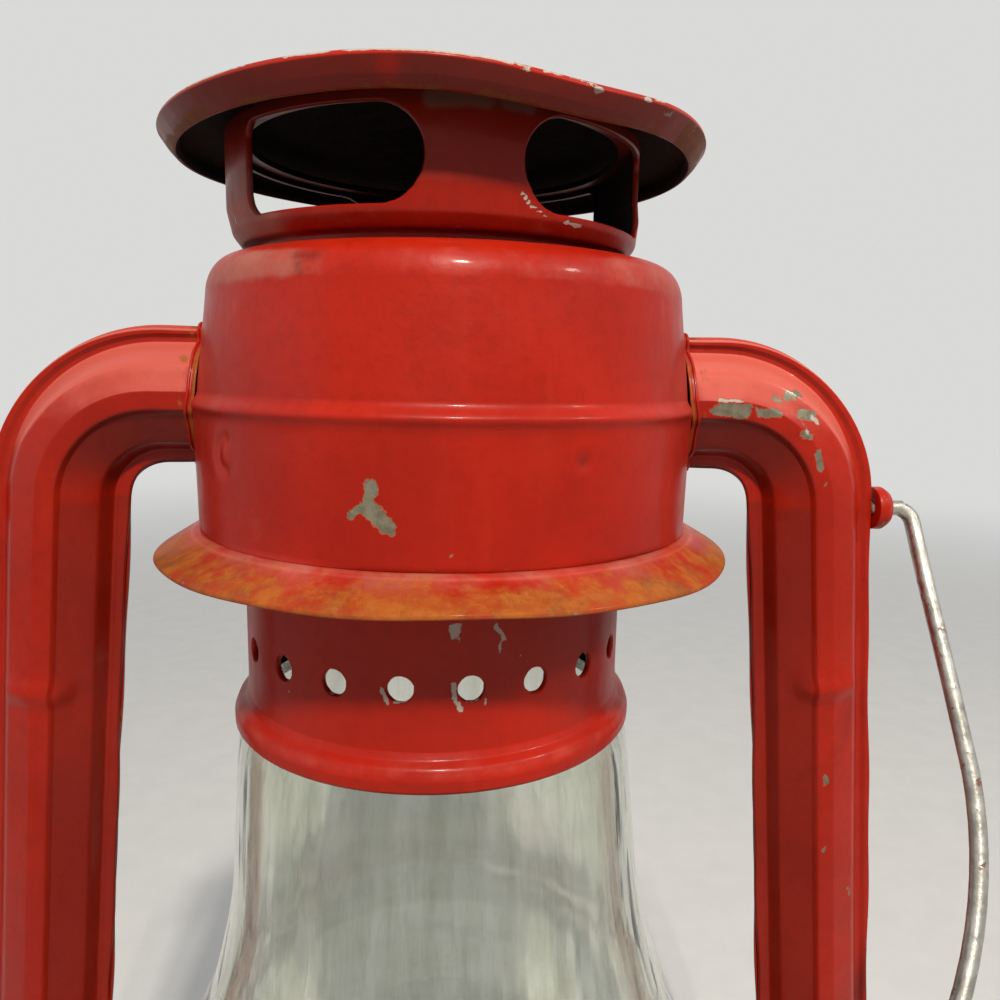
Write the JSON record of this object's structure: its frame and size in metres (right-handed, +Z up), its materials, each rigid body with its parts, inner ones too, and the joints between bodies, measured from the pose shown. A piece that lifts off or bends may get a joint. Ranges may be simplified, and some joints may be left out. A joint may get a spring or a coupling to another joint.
{
  "type": "kerosene lamp",
  "caption": "Red tubular storm lantern: a fuel tank, side tubes, a glass globe under a sprung vented hood, a wick burner and a hanging bail.",
  "frame": {"origin": "on the floor under the middle of the tank", "axes": "+Z up, -Y towards the front, +X towards the tube on the right as seen from the front"},
  "size_m": [0.1568, 0.1156, 0.2535],
  "materials": {
    "red_paint": "satin",
    "rusty_paint": "worn",
    "steel_wire": "dull",
    "brass": "dull",
    "globe_glass": "clear",
    "rubber": "matte",
    "cotton": "woven"
  },
  "bodies": {
    "lamp_body": {"tank_bottom": "red_paint", "tank_shell": "red_paint", "filler_neck": "red_paint", "air_box": "red_paint", "burner_collar": "brass", "burner_body": "brass", "wick_tube": "brass", "air_diffuser": "brass", "burner_cone": "brass", "chamber_shell": "red_paint", "chamber_brim": "rusty_paint", "tube_right_front": "red_paint", "tube_right_back": "red_paint", "tube_left_front": "red_paint", "tube_left_back": "red_paint", "tube_ring_right": "rusty_paint", "tube_ring_left": "rusty_paint", "bail_ear_right": "red_paint", "bail_ear_left": "red_paint", "guard_wire": "steel_wire", "lever_bracket": "red_paint", "lever_pin": "steel_wire", "hood_spring_front": "steel_wire", "hood_spring_back": "steel_wire"},
    "globe_carriage": {"globe_plate": "red_paint", "lift_strut": "steel_wire", "globe": "globe_glass"},
    "hood": {"rain_cap": "red_paint", "crown": "red_paint", "inner_chimney": "red_paint", "globe_collar": "red_paint"},
    "lift_lever_body": {"lift_lever": "steel_wire"},
    "wick_drive": {"wick_knob": "brass", "wick_shaft": "brass", "spur_wheel_front": "brass", "spur_wheel_back": "brass"},
    "wick_body": {"wick": "cotton"},
    "filler_gasket_body": {"filler_gasket": "rubber"},
    "filler_cap_body": {"filler_cap": "red_paint"},
    "bail": {"bail_handle": "steel_wire"}
  },
  "joints": [
    {"name": "globe_lift", "type": "slide", "parent": "lamp_body", "child": "globe_carriage", "axis": [0, 0, 1], "range_m": [0, 0.012], "deforming": ["hood_spring_front", "hood_spring_back"]},
    {"name": "hood_lift", "type": "slide", "parent": "globe_carriage", "child": "hood", "axis": [0, 0, 1], "range_m": [0, 0.011], "stiffness_N_per_m": 200, "springref_m": -0.015, "deforming": ["hood_spring_front", "hood_spring_back"]},
    {"name": "lever_turn", "type": "hinge", "parent": "lamp_body", "child": "lift_lever_body", "pos_m": [0.02894, -0.03449, 0.062], "axis": [0.766, 0.6428, 0], "range_deg": [0, 44.1]},
    {"name": "wick_knob_turn", "type": "hinge", "parent": "lamp_body", "child": "wick_drive", "pos_m": [0.0057, 0, 0.054], "axis": [0, 1, 0], "range_deg": [-95.5, 95.5]},
    {"name": "wick_slide", "type": "slide", "parent": "lamp_body", "child": "wick_body", "axis": [0, 0, 1], "range_m": [-0.0081, 0.0081]},
    {"name": "filler_climb", "type": "slide", "parent": "lamp_body", "child": "filler_gasket_body", "axis": [0, 0, 1], "range_m": [0, 0.0076]},
    {"name": "filler_turn", "type": "hinge", "parent": "filler_gasket_body", "child": "filler_cap_body", "pos_m": [-0.02399, -0.02999, 0.0488], "axis": [0, 0, 1], "range_deg": [0, 1080]},
    {"name": "bail_swing", "type": "hinge", "parent": "lamp_body", "child": "bail", "pos_m": [0, 0, 0.195], "axis": [-1, 0, 0], "range_deg": [0, 308]}
  ],
  "couplings": [
    {"joint": "lever_turn", "follows": "globe_lift", "rad_per_m": 64},
    {"joint": "wick_slide", "follows": "wick_knob_turn", "m_per_rad": 0.0048},
    {"joint": "filler_climb", "follows": "filler_turn", "m_per_rad": 0.000398}
  ]
}
